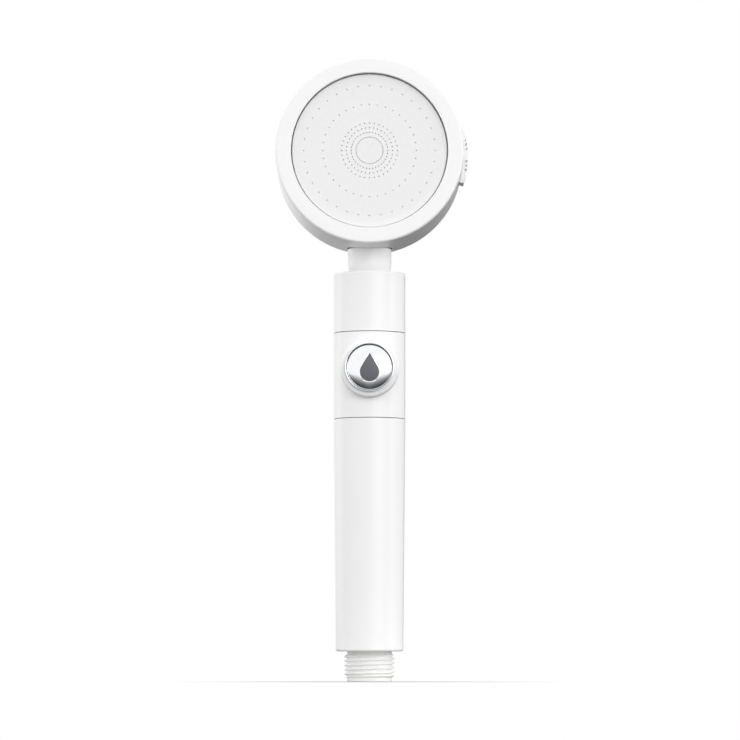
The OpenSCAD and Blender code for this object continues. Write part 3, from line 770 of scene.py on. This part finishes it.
def drop_block(radius, back, front):
    """Block with the outline of a water drop, point upwards, along the valve's axis."""
    bm = bmesh.new()
    corners = [bm.verts.new((0, 2 * radius, back))]
    for step in range(DROP_STEPS + 1):
        turn = math.radians(DROP_START_DEG + DROP_SWEEP_DEG * step / DROP_STEPS)
        corners.append(bm.verts.new((radius * math.cos(turn), radius * math.sin(turn), back)))
    bottom = bm.faces.new(corners)
    grown = bmesh.ops.extrude_face_region(bm, geom=[bottom])["geom"]
    bmesh.ops.translate(bm, verts=only(bmesh.types.BMVert, grown), vec=(0, 0, front - back))
    bmesh.ops.translate(bm, verts=bm.verts, vec=(0, -DROP_R / 2, 0))
    face_outwards(bm)
    return bm


def dome_points(edge):
    """Points of the button's dome from just inside its edge to its crown."""
    rise = button_crown - CAP_EDGE
    ball = (button_r ** 2 + rise ** 2) / (2 * rise)
    half = math.asin(button_r / ball)
    points = []
    for ring in range(DOME_RINGS - 1, -1, -1):
        turn = half * ring / DOME_RINGS
        points.append((ball * math.sin(turn), edge + rise - ball * (1 - math.cos(turn)), 0))
    return points


def front_corners(bm, above):
    """Sharp edges that run across the valve's axis, past that place along it."""
    return [edge for edge in bm.edges
            if edge.calc_face_angle(0) > math.radians(50)
            and min(vert.co.z for vert in edge.verts) > above
            and abs(edge.verts[0].co.z - edge.verts[1].co.z) < LEVEL_WITHIN]


def button_cap():
    """Domed cap, hollow behind, with a drop-shaped pocket in its front."""
    inner_r = button_r - CAP_WALL
    outline = [(0, CAP_EDGE - CAP_WALL, 0), (inner_r, CAP_EDGE - CAP_WALL, 0),
               (inner_r, button_back, 0), (button_r, button_back, MOUTH_ROUND),
               (button_r, CAP_EDGE, EDGE_ROUND), *dome_points(CAP_EDGE)]
    pocket = drop_block(DROP_R, button_crown - ICON_DEEP, button_crown + OVERSHOOT)
    cap = boolean(lathe(outline, HANDLE_STEPS), "DIFFERENCE", pocket)
    drop_reach = 1.7 * DROP_R
    pocket_rim = [edge for edge in front_corners(cap, button_crown - 0.95 * ICON_DEEP)
                  if edge.verts[0].co.xy.length < drop_reach]
    bevel(cap, pocket_rim, POCKET_ROUND, 2)
    return placed(cap, valve_place)


piece("button_dome", button_cap(), chrome, "stop_button", ["button_cap"])


def button_mark():
    """Inlay whose front follows the button's dome, a little below it."""
    back = button_crown - ICON_DEEP
    block = drop_block(DROP_R - ICON_GAP, back, button_crown + OVERSHOOT)
    under = lathe([(0, back - OVERSHOOT, 0), (button_r, back - OVERSHOOT, 0),
                   (button_r, CAP_EDGE - ICON_SINK, 0), *dome_points(CAP_EDGE - ICON_SINK)],
                  HANDLE_STEPS)
    mark = boolean(block, "INTERSECT", under)
    bevel(mark, front_corners(mark, back + 0.2 * MM), ICON_ROUND, 2)
    return placed(mark, valve_place)


piece("button_drop_inlay", button_mark(), mark_grey, "stop_button",
      ["button_icon"])


# ---- Hose connector ----

THREAD_R = 20.955 / 2 * MM
ROOT_R = 18.631 / 2 * MM
PITCH = 1.814 * MM
FLANK_DEG = 27.5
FIRST_CREST = 2.807 * MM
THREAD_TURNS = 9
STEPS_PER_TURN = 72
THREAD_SPAN = (1.6 * MM, 11.6 * MM)
FULL_THREAD_SPAN = (2.7 * MM, 10.6 * MM)


def threaded_rod():
    """Solid rod with a right-hand pipe thread, longer than the part that is kept."""
    crest = PITCH / 12
    flank = (THREAD_R - ROOT_R) * math.tan(math.radians(FLANK_DEG))
    start = FIRST_CREST - 2.25 * PITCH
    bm = bmesh.new()
    outline = [(ROOT_R, -PITCH / 2), (ROOT_R, -crest - flank), (THREAD_R, -crest),
               (THREAD_R, crest), (ROOT_R, crest + flank), (ROOT_R, PITCH / 2)]
    corners = [bm.verts.new((radius, 0, start + height)) for radius, height in outline]
    edges = [bm.edges.new(pair) for pair in zip(corners, corners[1:])]
    bmesh.ops.spin(bm, geom=corners + edges, cent=(0, 0, 0), axis=UP,
                   dvec=(0, 0, PITCH / STEPS_PER_TURN), angle=2 * math.pi * THREAD_TURNS,
                   steps=STEPS_PER_TURN * THREAD_TURNS)
    merge(bm, 2 * COARSE)
    rod_low, rod_high = -1 * MM, 14 * MM
    for height, keep_above in ((rod_low, True), (rod_high, False)):
        bmesh.ops.bisect_plane(bm, geom=everything(bm), dist=HAIR, plane_co=(0, 0, height),
                               plane_no=UP, clear_inner=keep_above,
                               clear_outer=not keep_above)
    merge(bm, COARSE)
    bmesh.ops.holes_fill(bm, edges=[edge for edge in bm.edges if edge.is_boundary], sides=0)
    face_outwards(bm)
    return bm


def inlet_connector():
    """Threaded hose end with a plain lead-in, an undercut, a collar and a flange."""
    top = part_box("inlet_connector")[1].z
    core_top = grip_low + 0.3 * MM
    collar_low = grip_low + 0.6 * MM
    collar_top = grip_low + GRIP_FLOOR
    collar_r = 10.98 * MM
    flange_r = GRIP_BORE_R - FIT_GAP
    core_r = ROOT_R - 0.03 * MM
    under_root = ROOT_R - 0.1 * MM
    past_crest = THREAD_R + 0.2 * MM
    low, high = THREAD_SPAN
    full_low, full_high = FULL_THREAD_SPAN
    blank = lathe([(0, low, 0), (under_root, low, 0), (past_crest, full_low, 0),
                   (past_crest, full_high, 0), (under_root, high, 0), (0, high, 0)],
                  HANDLE_STEPS)
    thread = boolean(threaded_rod(), "INTERSECT", blank)
    body = lathe([(0, 0, 0), (core_r, 0, PLUG_ROUND), (core_r, core_top, 0),
                  (collar_r, collar_low, 0), (collar_r, collar_top, 0),
                  (flange_r, collar_top, 0), (flange_r, top, EDGE_ROUND), (0, top, 0)],
                 HANDLE_STEPS)
    screen_depth = 1 * MM
    screen_seat = rod(7.8 * MM, top - screen_depth, top + OVERSHOOT)
    bore = rod(7.0 * MM, -OVERSHOOT, top + OVERSHOOT)
    joined = boolean(body, "UNION", thread)
    return boolean(joined, "DIFFERENCE", bore, screen_seat)


piece("hose_thread_end", inlet_connector(), thread_white, "handset",
      ["inlet_connector"], smooth_deg=28)


# ---- Inner pieces keep their CAD shape ----

FINISH_OF_SLOT = {
    "white_shell": white_shell, "spray_plate": plate_white, "inner_plastic": inner_grey,
    "moving_plastic": moving_grey, "seal_rubber": seal_black, "spring_steel": steel,
    "chrome": chrome, "icon_grey": mark_grey, "filter_felt": fibre, "filter_cap": cap_blue,
    "white_thread": thread_white,
}
slot_of_node = {part["node"]: part["material_slot"] for part in frame["record"]["subparts"]}
for node_name, node in frame["nodes"].items():
    node.data.materials.clear()
    node.data.materials.append(FINISH_OF_SLOT[slot_of_node[node_name]])


# ---- Floor, light and camera ----

# Spans are distances in metres over which one value eases into the next.
FLOOR_HALF = 6
SHADOW_BAND_GREY = 0.55
SHADOW_SPAN = (0.02, 0.10)
CLOSE_SPAN = (0.02, 0.08)
SIDE_SPAN = (-0.20, 0.20)
WEDGE_SPAN = (0.10, 0.40)
BEHIND_SPAN = (0.2, 0.5)
BEHIND_ACROSS_SPAN = (-1.0, 0.2)
NEAR_BOUNCE = 0.55
LEFT_BOUNCE = 0.45
RIGHT_BOUNCE = 0.03
FRONT_MIRRORED = 1.1
BACK_MIRRORED = 0.81
WEDGE_SPREAD = 0.45
WEDGE_FLOOR = 0.02
WORLD_MIRRORED = 1.1
WORLD_LEVEL = 1.40
ZENITH_LEVEL = 1.0
CARD_MIRRORED = 0.1


def floor():
    """White floor: soft contact shadow near the object, partly real and partly painted shade,
    more bounce on its left side, painted into the floor's colour for bounced light, and for
    mirrors a glowing white wedge in front and a paler left side behind, painted reflections."""
    bm = bmesh.new()
    bmesh.ops.create_grid(bm, x_segments=1, y_segments=1, size=FLOOR_HALF)
    made = new_object("studio_floor", bm)
    finish = finish_named("pale studio floor")
    place = finish.place()
    across, along = (finish.part(place, letter) for letter in "XY")
    away = finish.node("ShaderNodeVectorMath", {"operation": "LENGTH"}, {0: place},
                       output="Value")

    # For bounced light only, the floor is paler on the left and near the object and almost black on the right:
    # painted light on the lower left of the head and painted shade on its lower right.
    side = finish.over(across, *SIDE_SPAN, LEFT_BOUNCE, RIGHT_BOUNCE)
    close = finish.over(away, *CLOSE_SPAN, 1, 0)
    bounce = finish.node("ShaderNodeBsdfDiffuse", None,
                         {"Color": close * NEAR_BOUNCE + (1 - close) * side})

    # Seen directly, the floor near the object is this darker grey. It takes real shadows and is also painted
    # shade, and it eases into an even white glow farther out.
    matt = finish.node("ShaderNodeBsdfDiffuse", None, {"Color": grey(SHADOW_BAND_GREY)})
    white = finish.node("ShaderNodeEmission", None, {"Color": grey(1.0), "Strength": 1.0})
    seen = finish.blended(finish.over(away, *SHADOW_SPAN, 0, 1), matt, white)

    # Only reflections see this glow: a white wedge in front and a paler patch behind on the left, painted
    # reflections in the chrome and the glossy plastic.
    wedge = 0 - along - WEDGE_SPREAD * across.size()
    in_front = finish.over(wedge, *WEDGE_SPAN, WEDGE_FLOOR, 1) * FRONT_MIRRORED
    behind = (finish.over(along, *BEHIND_SPAN, 0, 1)
              * finish.over(across, *BEHIND_ACROSS_SPAN, BACK_MIRRORED, 0))
    mirrored = finish.node("ShaderNodeEmission", None,
                           {"Color": in_front + behind, "Strength": 1.0})

    indirect = finish.blended(finish.ray("Is Glossy Ray"), bounce, mirrored)
    shader = finish.blended(finish.ray("Is Camera Ray"), indirect, seen)
    finish.node("ShaderNodeOutputMaterial", None, {"Surface": shader})
    made.data.materials.append(finish.owner)


floor()


def studio_world():
    """White all round, a little darker overhead, with a dark card behind the right side that
    only mirrors see."""
    world = bpy.data.worlds.new("white studio")
    scene.world = world
    finish = Finish(world)
    toward = finish.node("ShaderNodeTexCoord", output="Generated")
    across, along, height = (finish.part(toward, letter) for letter in "XYZ")
    card = (finish.over(across, 0.0, 0.1, 0, 1) * finish.over(across, 0.45, 0.65, 1, 0)
            * finish.over(along, 0.0, 0.2, 0, 1))
    mirrored = finish.mix(card, grey(WORLD_MIRRORED), grey(CARD_MIRRORED))
    level = finish.over(height, 0.2, 1.0, WORLD_LEVEL, ZENITH_LEVEL)
    lit = finish.mix(finish.ray("Is Glossy Ray"), level, mirrored)
    seen = finish.mix(finish.ray("Is Camera Ray"), lit, grey(1.0))
    background = finish.node("ShaderNodeBackground", None, {"Color": seen, "Strength": 1.0})
    finish.node("ShaderNodeOutputWorld", None, {"Surface": background})


studio_world()


def soft_light(name, place, aim, size, power):
    lamp = bpy.data.lights.new(name, "AREA")
    lamp.shape = "RECTANGLE"
    lamp.size, lamp.size_y = size
    lamp.energy = power
    made = bpy.data.objects.new(name, lamp)
    made.location = place
    made.rotation_euler = (Vector(aim) - Vector(place)).to_track_quat("-Z", "Y").to_euler()
    scene.collection.objects.link(made)


HANDLE_AIM = (0, 0, 0.12)
HEAD_AIM = (0, 0, 0.15)
SIDE_PANEL = (0.5, 0.8)
soft_light("key_right", (0.75, -1.35, 0.45), HANDLE_AIM, (1.1, 0.9), 6.8)
soft_light("side_right", (1.2, -0.25, 0.15), HANDLE_AIM, SIDE_PANEL, 2.5)
soft_light("back_left", (-1.1, 0.5, 0.25), HEAD_AIM, SIDE_PANEL, 1.2)
soft_light("back_right", (1.1, 0.5, 0.25), HEAD_AIM, SIDE_PANEL, 0.4)

CAMERA_LENS = 199.95
CAMERA_PLACE = (0.0002, -1.7125, 0.006)
CAMERA_PITCH_DEG = 4.137


def studio_camera():
    """Long lens, low in front of the object, tilted up a little."""
    camera = bpy.data.cameras.new("camera")
    camera.sensor_width = 36
    camera.lens = CAMERA_LENS
    camera.clip_start = 0.01
    camera.clip_end = 50
    made = bpy.data.objects.new("camera", camera)
    made.location = CAMERA_PLACE
    made.rotation_euler = (math.radians(90 + CAMERA_PITCH_DEG), 0, 0)
    scene.collection.objects.link(made)
    scene.camera = made


studio_camera()
scene.view_settings.view_transform = "Standard"
